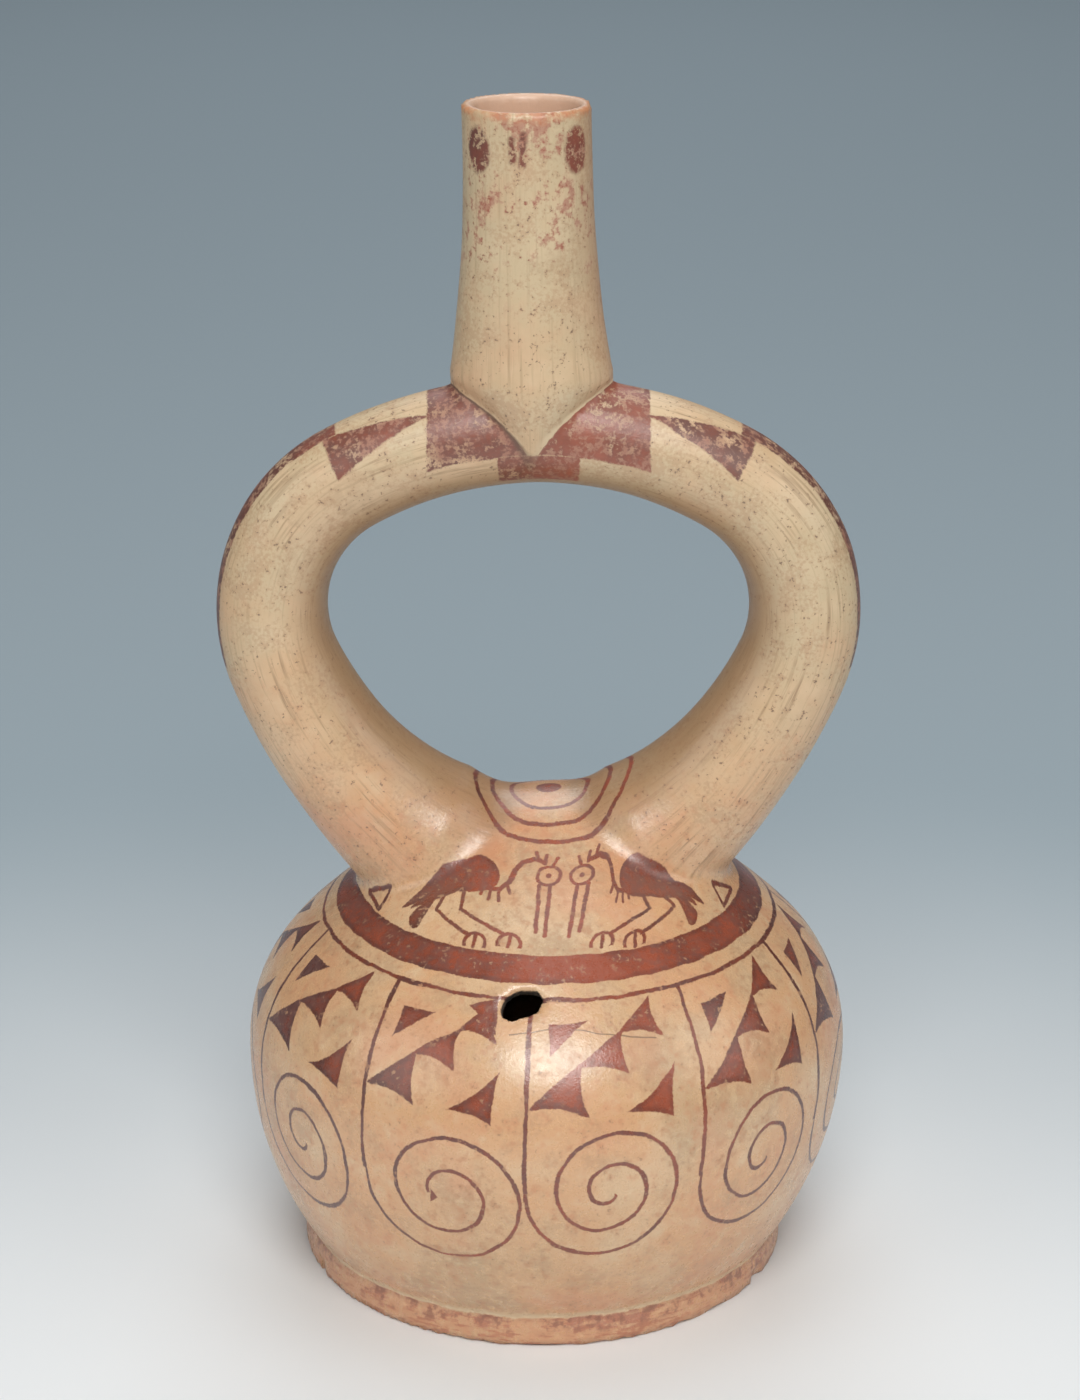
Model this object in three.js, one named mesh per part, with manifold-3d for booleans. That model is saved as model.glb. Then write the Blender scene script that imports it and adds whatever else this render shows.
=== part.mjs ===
import * as THREE from 'three';
import { mergeVertices } from 'three/addons/utils/BufferGeometryUtils.js';
import Module from 'manifold-3d';

// Stirrup-spout bottle of fired clay, built as one piece: a round body on a low foot, a hollow
// stirrup handle that springs from both shoulders, and a spout on the crown of the stirrup.
// The body chamber, the stirrup and the spout share one open inside.
// Millimetres, +Z up. The origin is on the floor under the middle of the stirrup, X runs across
// the stirrup, and the broken hole and the main picture are on the side that faces -Y.

const degrees = THREE.MathUtils.degToRad;

const overallHeight = 250;

// Body, from the floor up: foot band, lower belly arc, upper belly arc, easing shoulder, crown arc
const bellyRadius = 65;
const bellyHeight = 48;
const footRadius = 53;
const footHeight = 6.2;
const footEdge = 1.2;
const waistRadius = 52.8;
const waistHeight = 7;
const upperBellyRadius = 34;
const shoulderSlope = degrees(45);
const crownHeight = 104.3;
const crownRadius = 28;
const crownSlope = degrees(27);

// Stirrup: each half is three arcs, from the middle of the arch down to where the leg runs into
// the shoulder, and a fourth arc that carries the leg on under the crown
const archHeight = 183.3;
const legArcs = [
  { radius: 80, turn: degrees(29) },
  { radius: 32.5, turn: degrees(83) },
  { radius: 92, turn: degrees(30) },
];
const rootTurn = degrees(36);
const stirrupRadius = 11;
const legGrowth = 1.4;
const legFlare = 5.1;
const legFlarePower = 6;

// Spout: a slim neck that widens to its base, then narrows to a point on the front of the stirrup
const mouthRadius = 13.1;
const spoutBaseRadius = 17;
const spoutBaseHeight = 195;
const spoutFlarePower = 2.5;
const spoutTipRadius = 9;
const spoutTipHeight = 177.5;
const lipChamfer = 0.8;

// Hand-built leans: sideways shift at a given height, and shift for each millimetre of height
const bodyLean = { shift: 0.85, at: 0, slope: 0.018 };
const spoutLean = { shift: -1.45, at: spoutBaseHeight, slope: -0.017 };

// Walls and inside
const bodyWall = 4;
const floorThickness = 6;
const floorRadius = 41;
const stirrupBoreRadius = 7.5;
const mouthBoreRadius = 10.7;
const spoutBoreRadius = 12;
const spoutBoreBottom = 182;

// Broken hole in the shoulder wall: its middle, and its outline along the wall (across, up)
const hole = { turn: degrees(-6.4), radius: 49.6, height: 77, tilt: degrees(41.7), depth: 16 };
const holeOutline = [
  [-3.8, -1.5], [-2.1, 1.3], [-0.3, 2.5], [2.3, 2.5], [3.7, 1.2],
  [3.0, -1.0], [-1.2, -2.7], [-3.2, -2.6],
];

// Chips knocked out of the edge of the foot: place around the foot, counted from the front
const footChips = [
  { turn: degrees(-66), radius: 3.2, height: 1.2 },
  { turn: degrees(61), radius: 3.6, height: 0.4 },
];

// How finely the round forms are faceted
const facets = {
  bodySides: 60, bodyRings: 22, chamberSides: 36, chamberRings: 12,
  stirrupSides: 24, stirrupRings: 46, boreSides: 14, boreRings: 38,
  spoutSides: 28, spoutRings: 8, spoutTipRings: 4, chipSides: 7,
};

const clay = new THREE.MeshStandardMaterial({ color: 0xd3a683, roughness: 0.55, metalness: 0 });

const mergeDistance = 1e-4;
const wasm = await Module();
wasm.setup();

// A closed geometry as a solid that can be joined and cut
function solidOf(geometry) {
  geometry.deleteAttribute('normal');
  geometry.deleteAttribute('uv');
  const merged = mergeVertices(geometry, mergeDistance);
  const corners = merged.index.array;
  const triVerts = [];
  for (let i = 0; i < corners.length; i += 3) {
    const triangle = corners.slice(i, i + 3);
    if (new Set(triangle).size === 3) {
      triVerts.push(...triangle);
    }
  }
  return new wasm.Manifold(new wasm.Mesh({
    numProp: 3,
    vertProperties: merged.attributes.position.array,
    triVerts: new Uint32Array(triVerts),
  }));
}

// A solid as a geometry for a mesh
function geometryOf(solid) {
  const { vertProperties, triVerts } = solid.getMesh();
  const geometry = new THREE.BufferGeometry();
  geometry.setAttribute('position', new THREE.BufferAttribute(vertProperties, 3));
  geometry.setIndex(new THREE.BufferAttribute(triVerts, 1));
  geometry.computeVertexNormals();
  return geometry;
}

// A round form turned from its profile of (radius, height) points, leaning sideways as it rises
function turned(profile, sides, lean) {
  const geometry = new THREE.LatheGeometry(profile, sides);
  geometry.rotateX(Math.PI / 2);
  const place = geometry.attributes.position;
  for (let i = 0; i < place.count; i++) {
    const shift = lean.shift + lean.slope * (place.getZ(i) - lean.at);
    place.setX(i, place.getX(i) + shift);
  }
  return solidOf(geometry);
}

const point = (radius, height) => new THREE.Vector2(radius, height);

// The body's outline above its foot, from the waist over the belly and shoulder to the crown
function bodyCurve() {
  const rise = bellyHeight - waistHeight;
  const swell = bellyRadius - waistRadius;
  const lowerRadius = (rise * rise + swell * swell) / (2 * swell);
  const lowerTurn = Math.asin(rise / lowerRadius);
  const upperMiddle = bellyRadius - upperBellyRadius;
  const shoulder = point(
    upperMiddle + upperBellyRadius * Math.cos(shoulderSlope),
    bellyHeight + upperBellyRadius * Math.sin(shoulderSlope),
  );
  const crownMiddle = crownHeight - crownRadius;
  const crownEdge = point(
    crownRadius * Math.sin(crownSlope),
    crownMiddle + crownRadius * Math.cos(crownSlope),
  );
  // The easing stretch bends where the tangents of its two ends meet
  const across = shoulder.x - crownEdge.x;
  const up = crownEdge.y - shoulder.y;
  const shoulderRun = (up - across * Math.tan(crownSlope))
    / (Math.tan(shoulderSlope) - Math.tan(crownSlope));
  const bend = point(shoulder.x - shoulderRun, shoulder.y + shoulderRun * Math.tan(shoulderSlope));

  const curve = new THREE.Path();
  curve.absarc(bellyRadius - lowerRadius, bellyHeight, lowerRadius, -lowerTurn, 0, false);
  curve.absarc(upperMiddle, bellyHeight, upperBellyRadius, 0, shoulderSlope, false);
  curve.quadraticCurveTo(bend.x, bend.y, crownEdge.x, crownEdge.y);
  curve.absarc(0, crownMiddle, crownRadius, Math.PI / 2 - crownSlope, Math.PI / 2, false);
  return curve;
}

function body() {
  const outline = bodyCurve().getSpacedPoints(facets.bodyRings);
  outline[outline.length - 1].x = 0;
  const profile = [
    point(0, 0),
    point(footRadius - footEdge, 0),
    point(footRadius, footEdge),
    point(footRadius, footHeight),
    ...outline,
  ];
  return turned(profile, facets.bodySides, bodyLean);
}

// The empty inside of the body: the outline moved inwards by the wall, on a flat floor
function chamber() {
  const curve = bodyCurve();
  const profile = [point(0, floorThickness), point(floorRadius, floorThickness)];
  for (let ring = 0; ring <= facets.chamberRings; ring++) {
    const along = ring / facets.chamberRings;
    const outward = curve.getTangentAt(along).rotateAround(point(0, 0), -Math.PI / 2);
    const inner = curve.getPointAt(along).addScaledVector(outward, -bodyWall);
    profile.push(inner);
  }
  profile[profile.length - 1].x = 0;
  return turned(profile, facets.chamberSides, bodyLean);
}

const arcLength = (arcs) => arcs.reduce((sum, arc) => sum + arc.radius * arc.turn, 0);

// The last arc turns level just where the two legs would meet under the crown
function withRoots(arcs) {
  let heading = 0;
  let across = 0;
  for (const arc of arcs) {
    across += arc.radius * (Math.sin(heading + arc.turn) - Math.sin(heading));
    heading += arc.turn;
  }
  return [...arcs, { radius: across / Math.sin(heading), turn: rootTurn }];
}

const stirrupArcs = withRoots(legArcs);
const stirrupReach = arcLength(stirrupArcs);
const legReach = arcLength(legArcs);

// The stirrup's centre line and its outward direction, at a distance from the middle of the arch
function stirrupPoint(distance) {
  const side = distance < 0 ? -1 : 1;
  let remaining = Math.abs(distance);
  let heading = 0;
  let x = 0;
  let z = archHeight;
  for (const arc of stirrupArcs) {
    const turn = Math.min(remaining / arc.radius, arc.turn);
    x += arc.radius * (Math.sin(heading + turn) - Math.sin(heading));
    z += arc.radius * (Math.cos(heading + turn) - Math.cos(heading));
    heading += turn;
    remaining -= arc.radius * turn;
  }
  return { x: side * x, z, outX: side * Math.sin(heading), outZ: Math.cos(heading) };
}

// The legs thicken as they come down, and flare where they run into the body
function stirrupRadiusAt(distance) {
  const down = Math.min(Math.abs(distance) / legReach, 1);
  return stirrupRadius + legGrowth * down + legFlare * down ** legFlarePower;
}

// A round bar bent along the stirrup's centre line
function bentBar(radiusAt, sides, rings) {
  const geometry = new THREE.CylinderGeometry(1, 1, 2 * stirrupReach, sides, rings);
  const place = geometry.attributes.position;
  for (let i = 0; i < place.count; i++) {
    const distance = THREE.MathUtils.clamp(place.getY(i), -stirrupReach, stirrupReach);
    const centre = stirrupPoint(distance);
    const outward = place.getX(i) * radiusAt(distance);
    const sideways = place.getZ(i) * radiusAt(distance);
    place.setXYZ(i, centre.x + outward * centre.outX, sideways, centre.z + outward * centre.outZ);
  }
  return solidOf(geometry);
}

function spoutRadiusAt(height) {
  const down = (overallHeight - height) / (overallHeight - spoutBaseHeight);
  return mouthRadius + (spoutBaseRadius - mouthRadius) * down ** spoutFlarePower;
}

function spout() {
  const profile = [point(0, spoutTipHeight)];
  for (let ring = 0; ring < facets.spoutTipRings; ring++) {
    const up = ring / facets.spoutTipRings;
    const swell = Math.sin(up * Math.PI / 2);
    profile.push(point(
      THREE.MathUtils.lerp(spoutTipRadius, spoutBaseRadius, swell),
      THREE.MathUtils.lerp(spoutTipHeight, spoutBaseHeight, up),
    ));
  }
  const top = overallHeight - lipChamfer;
  for (let ring = 0; ring <= facets.spoutRings; ring++) {
    const height = THREE.MathUtils.lerp(spoutBaseHeight, top, ring / facets.spoutRings);
    profile.push(point(spoutRadiusAt(height), height));
  }
  profile.push(point(mouthRadius - lipChamfer, overallHeight), point(0, overallHeight));
  return turned(profile, facets.spoutSides, spoutLean);
}

function spoutBore() {
  const profile = [
    point(0, spoutBoreBottom),
    point(stirrupBoreRadius, spoutBoreBottom),
    point(spoutBoreRadius, spoutBaseHeight),
    point(mouthBoreRadius, (spoutBaseHeight + overallHeight) / 2),
    point(mouthBoreRadius, overallHeight + lipChamfer),
    point(0, overallHeight + lipChamfer),
  ];
  return turned(profile, facets.spoutSides, spoutLean);
}

// The plug of clay that is missing from the shoulder, square to the wall
function brokenPlug() {
  const outline = new THREE.Shape(holeOutline.map(([across, up]) => point(across, up)));
  const geometry = new THREE.ExtrudeGeometry(outline, { depth: hole.depth, bevelEnabled: false });
  geometry.translate(0, 0, -hole.depth / 2);
  const facing = new THREE.Matrix4().makeRotationX(Math.PI / 2 - hole.tilt);
  const around = new THREE.Matrix4().makeRotationZ(hole.turn);
  geometry.applyMatrix4(facing);
  geometry.translate(0, -hole.radius, hole.height);
  geometry.applyMatrix4(around);
  geometry.translate(bodyLean.shift + bodyLean.slope * hole.height, 0, 0);
  return solidOf(geometry);
}

function footChip({ turn, radius, height }) {
  const geometry = new THREE.SphereGeometry(radius, facets.chipSides, facets.chipSides);
  const reach = footRadius + radius / 2;
  geometry.translate(bodyLean.shift + reach * Math.sin(turn), -reach * Math.cos(turn), height);
  return solidOf(geometry);
}

function bottle() {
  const stirrup = bentBar(stirrupRadiusAt, facets.stirrupSides, facets.stirrupRings);
  const stirrupBore = bentBar(() => stirrupBoreRadius, facets.boreSides, facets.boreRings);
  const clayForm = body().add(stirrup).add(spout());
  const inside = chamber().add(stirrupBore).add(spoutBore());
  let vessel = clayForm.subtract(inside).subtract(brokenPlug());
  for (const chip of footChips) {
    vessel = vessel.subtract(footChip(chip));
  }
  const mesh = new THREE.Mesh(geometryOf(vessel), clay);
  mesh.name = 'bottle';
  return mesh;
}

const part = new THREE.Group();
part.add(bottle());

export default part;
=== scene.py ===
import math
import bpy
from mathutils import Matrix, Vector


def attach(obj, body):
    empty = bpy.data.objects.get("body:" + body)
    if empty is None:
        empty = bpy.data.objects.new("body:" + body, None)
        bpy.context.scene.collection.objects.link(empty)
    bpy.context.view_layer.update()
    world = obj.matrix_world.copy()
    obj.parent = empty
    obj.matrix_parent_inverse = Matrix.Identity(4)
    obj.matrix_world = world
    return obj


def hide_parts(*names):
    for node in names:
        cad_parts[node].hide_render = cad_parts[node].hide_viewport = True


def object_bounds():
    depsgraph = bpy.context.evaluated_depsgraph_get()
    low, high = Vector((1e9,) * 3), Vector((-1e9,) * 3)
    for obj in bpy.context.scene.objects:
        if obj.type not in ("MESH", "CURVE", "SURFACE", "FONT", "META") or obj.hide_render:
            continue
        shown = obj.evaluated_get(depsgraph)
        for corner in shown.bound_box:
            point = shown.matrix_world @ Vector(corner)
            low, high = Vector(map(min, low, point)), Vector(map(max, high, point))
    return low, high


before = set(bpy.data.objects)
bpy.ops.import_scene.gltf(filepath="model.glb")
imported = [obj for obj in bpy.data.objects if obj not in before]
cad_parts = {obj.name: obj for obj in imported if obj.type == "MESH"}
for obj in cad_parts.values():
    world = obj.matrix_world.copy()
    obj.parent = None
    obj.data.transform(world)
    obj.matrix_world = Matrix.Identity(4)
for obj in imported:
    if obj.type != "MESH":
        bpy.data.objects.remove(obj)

from types import SimpleNamespace

import bpy
from mathutils import Vector

cad_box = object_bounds()

# Sizes in millimetres, in the frame of the solid: the front with the hole faces -Y
OVERALL_HEIGHT = 250.0
BELLY_RADIUS = 65.0
BELLY_HEIGHT = 48.0
FOOT_RADIUS = 53.0
FOOT_HEIGHT = 6.2
WAIST_RADIUS = 52.8
WAIST_HEIGHT = 7.0
UPPER_BELLY_RADIUS = 34.0
SHOULDER_SLOPE = math.radians(45)
CROWN_HEIGHT = 104.3
CROWN_RADIUS = 28.0
CROWN_SLOPE = math.radians(27)
BODY_SHIFT = 0.85
BODY_LEAN = 0.018

# Stirrup: three arcs of each half, as (radius, turn), then a root that runs level under the crown
ARCH_HEIGHT = 183.3
LEG_ARCS = [(80.0, math.radians(29)), (32.5, math.radians(83)), (92.0, math.radians(30))]
ROOT_TURN = math.radians(36)
STIRRUP_RADIUS = 11.0
LEG_GROWTH = 1.4
LEG_FLARE = 5.1
LEG_FLARE_POWER = 6.0

# Spout
MOUTH_RADIUS = 13.1
SPOUT_BASE_RADIUS = 17.0
SPOUT_BASE_DEPTH = 14.2
SPOUT_BASE_HEIGHT = 195.0
SPOUT_FLARE_POWER = 2.5
SPOUT_TIP_WIDTH = 1.2
SPOUT_TIP_DEPTH = 10.0
SPOUT_TIP_HEIGHT = 177.5
SPOUT_SHIFT = -1.45
SPOUT_LEAN = -0.017

# Inside
WALL = 4.0
FLOOR_THICKNESS = 6.0
STIRRUP_BORE = 7.5
MOUTH_BORE = 10.7
SPOUT_BORE = 10.9
SPOUT_BORE_BOTTOM = 182.0

# Broken hole in the shoulder, and chips in the edge of the foot as (turn, radius, height)
HOLE_TURN = math.radians(-6.4)
HOLE_RADIUS = 49.6
HOLE_HEIGHT = 77.0
HOLE_TILT = math.radians(41.7)
HOLE_DEPTH = 8.0
HOLE_OUTLINE = [
    (-4.3, -1.2), (-3.5, 1.5), (-1.0, 3.2), (2.8, 3.3), (4.1, 1.6),
    (3.2, -1.4), (-1.7, -3.5), (-3.8, -2.8),
]
FOOT_CHIPS = [(math.radians(-66), 2.4, 1.6), (math.radians(61), 2.8, 0.8)]

# Surface of the clay: grid of the mesh, joins of its parts, roundings of its edges and unevenness
GRID_STEP = 1.43
GRID_MARGIN = 3.0
FINER_SHARE = 0.5
MOUTH_SPREAD = 22.0
HOLE_SPREAD = 9.0
SLOPE_STEP = 0.2
LEG_JOIN = 5.0
SPOUT_JOIN = 0.5
COLLAR_JOIN = 6.0
COLLAR_RANGE = (9.0, 17.0)
FOOT_JOIN = 1.2
BORE_JOIN = 3.0
SPOUT_BORE_JOIN = 2.0
LIP_ROUNDING = 1.4
FOOT_ROUNDING = 1.5
FLOOR_ROUNDING = 6.0
SOLE_ROUNDING = 0.8
HOLE_ROUNDING = 0.25
CHIP_ROUNDING = 0.6
UNEVENNESS = 0.3
WAVE_NOISE = (0.035, 1.0)
BREAK_NOISE = (0.6, 2.0)
BREAK_DEPTH = 1.2
HOLE_BREAK = 0.4
SEED = 4.0
SEED_STEP = 90.0

# Named inputs of the form's node tree, and the distances that its mesh keeps for the colouring
FORM_SIZES = {
    "Wall": WALL, "Stirrup radius": STIRRUP_RADIUS, "Leg join": LEG_JOIN,
    "Spout join": SPOUT_JOIN, "Collar join": COLLAR_JOIN, "Unevenness": UNEVENNESS, "Seed": SEED,
}
KEPT = ("Inside", "Along", "Outward", "Stirrup lead", "Spout lead", "Hole")

# Painted layout, in millimetres up the wall from the belly's widest line; panels start at these turns
WALL_SCALE = 62.0
PANEL_COUNT = 10
PANEL_LOW = -3.0
PANEL_SPAN = 10.2
PANEL_EDGES = [(-180, -2.9), (-71, 0), (-36.6, 1), (-4.1, 2), (30.3, 3), (63.5, 4), (180, 7.1)]
PANEL_TAPER = 0.0027
LINE_HALF = 0.48
INK_SPREAD = 0.35
THIN_LINE = 34.0
BAND_MIDDLE = 41.3
BAND_HALF = 3.5
BAND_FADE = 6.0
TAPER_MIDDLE = 12.0
FRONT_PANELS = (-0.2, 0.5)
OUT_OF_SIGHT = 9.0

# Scrolls as (middle across, middle height, squash, pitch, turns): the usual one and the flat one
SCROLL = (-1.2, -5.6, 1.1, 7.2, 2.4)
FLAT_SCROLL = (1.5, -7.5, 1.24, 8.5, 2.0)
FLAT_PANEL = 1.0
SCROLL_TICK = [(-2.6, -6.4), (-0.9, -8.4), (-3.0, -9.8)]

# Stepped sails of a panel, its lone sail, its corner sail and the flat top of one panel's first sail
STEPS = [(8.2, 32.4), (1.7, 26.2), (-7.6, 20.1), (-18.3, 12.3)]
STEP_TIPS = [(10.0, 24.7), (2.0, 18.4), (-6.8, 10.6)]
STEP_SAGS = (0.7, 0.9, 0.0)
LOW_SAIL = [(12.7, 18.8), (12.3, 8.6), (1.5, 10.6)]
LOW_SAGS = (0.4, 0.6, 0.9)
STRAIGHT = (0.0, 0.0, 0.0)
CORNER_SAIL = [(-12.4, 28.7), (-4.8, 29.0), (-13.6, 22.2)]
FLAT_TOP = [(2.4, 31.8), (8.4, 34.0), (10.0, 26.0)]

# Hairline crack beside the hole
CRACK = [(-8.0, 26.4), (-3.3, 27.1), (1.7, 27.8), (7.6, 26.9), (22.1, 24.0)]
CRACK_HALF = 0.09

# Birds, in millimetres out from the line between their bills, and up the shoulder
BIRD_SQUASH = 0.87
BIRD_LEAN = 0.1
BIRD_SHIFT = -3.65
WINGS = [
    ([(18.2, 57.2), (26.6, 53.2)], 4.3, 2.8),
    ([(26.6, 53.2), (37.4, 42.8)], 2.8, 0.2),
    ([(25.0, 52.6), (34.6, 43.6)], 2.2, 0.2),
    ([(28.6, 48.8), (32.6, 41.7)], 0.5, 1.7),
]
BIRD_STOOP = 3.0
STOOP_RISE = 0.55
STOOP_START = (8.0, 16.0)
STOOP_STOP = (24.0, 41.0)
STOOP_HEIGHT = (45.0, 51.0)
NECK = [
    (17.4, 55.6), (15.6, 54.0), (13.4, 54.2), (11.6, 56.4),
    (10.8, 59.4), (9.4, 62.0), (7.0, 63.2), (4.8, 62.4),
]
NECK_HALF = 0.62
EYE = (3.5, 58.7)
EYE_RADIUS = 2.4
PUPIL_RADIUS = 0.6
FINE_HALF = 0.4
LEG_HALF = 0.45
BIRD_LINES = [
    [(2.8, 56.0), (2.5, 43.4)],
    [(5.1, 56.3), (4.5, 44.4)],
    [(21.5, 52.0), (21.3, 47.6), (11.2, 43.4)],
    [(26.1, 50.5), (27.4, 45.6), (18.4, 42.0)],
    [(53.0, 40.6), (43.6, 44.8), (45.2, 39.8), (53.0, 40.6)],
]
BIRD_FEET = [(9.6, 41.3), (16.9, 40.4)]
TOE_RADIUS = 2.3
TOE_TOP = 1.8
TOE_TIP = 0.9
BIRD_TICKS = [
    [(3.0, 61.4), (2.3, 63.6)], [(4.6, 61.9), (4.7, 64.4)], [(6.1, 62.8), (6.8, 65.0)],
    [(17.2, 54.4), (17.6, 52.2)], [(15.4, 53.8), (15.6, 51.2)], [(13.6, 54.0), (13.2, 51.4)],
    [(11.9, 55.6), (11.0, 53.6)],
]

# Marks of the dome, as (middle across, radius), of the stirrup and of the spout
DOME_RINGS = [(-0.4, 8.2), (-0.1, 12.6), (0.3, 16.5)]
DOME_DOT = (-0.6, 0.4)
DOME_DOT_RADIUS = 2.7
DOME_FOOT = 96.5
BODY_PAINT_TOP = (112.0, 116.0)
HANDLE_PAINT_LOW = (118.0, 112.0)
HANDLE_PAINT_TOP = (194.0, 198.0)
COLLAR_REACH = 22.6
COLLAR_DROP = 20.0
UNDER_REACH = 8.2
UNDER_DROP = 27.5
FAN = [(20.0, 8.5), (40.8, 14.6), (40.8, 4.2)]
STRIPE_START = 38.0
STRIPE_END = 84.0
STRIPE_HALF = 4.6
OVAL_HEIGHT = 242.0
OVAL_WIDTH = 3.1
OVAL_SQUASH = 0.68
OVAL_TURNS = [-49.0, 49.0]
OVAL_STROKES = [[(-3.1, 244.6), (-2.9, 240.4)], [(-0.6, 245.4), (-1.0, 239.6)]]
OVAL_STROKE_HALF = 0.7

# Textures of the clay, as (scale, detail, roughness), and shifts that keep like ones apart
BROAD_NOISE = (0.03, 2.0)
CLOUD_NOISE = (0.05, 2.0)
PATCHY_NOISE = (0.11, 3.0, 0.6)
HAND_NOISE = (0.22, 1.0)
MOTTLE_NOISE = (0.5, 3.0, 0.62)
GRAIN_NOISE = (1.3, 2.0, 0.6)
STREAK_NOISE = (1.0, 3.0, 0.65)
HAND_SHIFT = (40.0, 7.0, 19.0)
CLOUD_SHIFT = (90.0, 20.0, 5.0)
FOOT_STRETCH = (0.2, 0.2, 1.3)
STREAK_ACROSS = 1.3
STREAK_ALONG = 0.05
STREAK_UP = 0.04
RAGGEDNESS = 0.55
WANDER = 0.9
WIDTH_CHANGE = 0.75

# Soft changes of the colouring, in millimetres, each from where it is nothing to where it is full
STIRRUP_EDGE = (-1.5, 1.5)
SPOUT_EDGE = (-0.2, 0.2)
CREAM_RISE = (78.0, 160.0)
BODY_WARMTH = 34.0
# Underside of the arch, painted darker: partly staining, partly painted shade
ARCH_UNDERSIDE = (19.0, 30.0)
SPOUT_FLANK = (8.0, 20.0)
DOME_STAIN_FOOT = (88.0, 98.0)
DOME_STAIN_TOP = (112.0, 104.0)
FOOT_STREAKS = (12.0, 8.0)
# The pale line above the foot: partly cream slip, partly a painted highlight on the ledge's top
FOOT_LINE_LOW = (6.2, 6.9)
FOOT_LINE_TOP = (9.0, 7.6)
FOOT_EDGE = (6.7, 6.1)
SCUFF_RISE = (2.0, 4.4)
CRACK_EDGE = (0.14, -0.06)
# Middle from which the slip is painted darker and more purple towards the sides, as painted shade
SLIP_MIDDLE = 8.0
SLIP_BRIM = (-1.5, -0.5)
BIRD_ZONE = (85.0, 91.0)
RIDGE_ZONE = (42.0, 62.0)
BODY_INK = (0.16, -0.16)
HANDLE_INK = (0.25, -0.25)
MOUTH_INK = (0.5, -0.5)
LIP_EDGE = (247.4, 249.2)
FLECK_RISE = (206.0, 226.0)
FLECK_FRONT = (2.0, -6.0)
# Painted shade in the spout join's crevice on its left, and a painted highlight on its edge on its right
CREVICE_OUT = (-1.1, -0.2)
CREVICE_IN = (0.4, 0.0)
CREVICE_LEFT = (1.0, -5.0)
JOIN_EDGE_OUT = (-0.3, 0.2)
JOIN_EDGE_IN = (1.4, 0.5)
JOIN_EDGE_RIGHT = (-3.0, 3.0)
JOIN_TOP = (198.0, 194.0)
INSIDE_EDGE = (1.5, 0.7)
# Where the hole's wall is painted near black, as painted shade
HOLE_EDGE = (0.2, -0.05)

# Gloss and grain of the burnished surface
ROUGHNESS = 0.3
ROUGHNESS_RANGE = (0.24, 1.0)
SPECULAR_LEVEL = 1.0
GRAIN_STRENGTH = 0.25
GRAIN_DEPTH = 0.0004


def tone_of(red, green, blue):
    """A colour as a paint chart gives it, 0 to 255, turned to linear light."""
    shares = (value / 255 for value in (red, green, blue))
    return (*(((share + 0.055) / 1.055) ** 2.4 for share in shares), 1.0)


CREAM = tone_of(208, 185, 148)
WARM = tone_of(216, 168, 124)
# Pale cream of faded patches, also used for the painted highlights on the spout join and the ledge above the
# foot
PALE_AND_HIGHLIGHT = tone_of(224, 200, 164)
DUST = tone_of(184, 140, 104)
# Brown of burnishing streaks and dull patches, also used for the painted shade under the arch
BURNISH_AND_SHADE = tone_of(146, 112, 78)
STAIN = tone_of(204, 136, 94)
BLUSH = tone_of(214, 152, 116)
# Dark soil brown of specks and the crack, also used for the painted shade in the spout join
SOIL_AND_SHADE = tone_of(96, 70, 50)
# Near black of the painted shade on the hole's broken wall
HOLE_SHADE_BLACK = tone_of(22, 16, 14)
FOOT = tone_of(204, 150, 112)
FOOT_RED = tone_of(176, 104, 76)
BARE_CLAY = tone_of(216, 180, 154)
RED_SLIP = tone_of(160, 80, 54)
DARK_SLIP = tone_of(90, 48, 36)
PURPLE_SLIP = tone_of(114, 80, 74)
WORN_SLIP = tone_of(176, 118, 96)
PINK_SLIP = tone_of(184, 134, 110)

# Camera, floor and lights, in metres; lights as (name, place, aim, disc size, power, colour)
CAMERA_PLACE = (0.0003, -0.62486, 0.35083)
CAMERA_DIP = 0.3476
CAMERA_LENS = 81.06
CAMERA_SENSOR = 36.0
FLOOR_SIZE = 30.0
FLOOR_MIDDLE = (0.0, -0.25, 0.0)
# The floor's fade to grey is partly the backdrop's grey-blue, partly painted shade for the soft shadow round
# the bottle
FLOOR_FADE = (0.18, 0.55)
FLOOR_NEAR = tone_of(233, 236, 238)
FLOOR_FAR = tone_of(160, 174, 182)
FLOOR_ROUGHNESS = 0.9
FLOOR_SPECULAR = 0.2
WORLD_COLOUR = (0.74, 0.82, 0.88, 1.0)
WORLD_STRENGTH = 0.13
LIGHTS = [
    ("key", (0.05, -0.92, 1.1), (0.0, 0.0, 0.09), 0.75, 11.0, (1.0, 0.98, 0.95)),
    ("right", (0.95, -0.4, 0.7), (0.0, 0.0, 0.1), 0.9, 2.6, (1.0, 0.98, 0.95)),
    ("left", (-0.95, -0.5, 0.6), (0.0, 0.0, 0.08), 0.9, 2.4, (1.0, 0.98, 0.95)),
    ("low", (0.1, -2.2, 1.0), (0.0, 0.0, 0.04), 1.8, 5.0, (1.0, 0.98, 0.95)),
    ("top", (0.0, 0.3, 1.3), (0.0, 0.0, 0.1), 1.0, 3.6, (0.98, 0.99, 1.0)),
    ("back", (0.0, 1.9, 1.8), (0.0, 1.7, 0.0), 1.8, 16.0, (0.96, 0.98, 1.0)),
]


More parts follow.
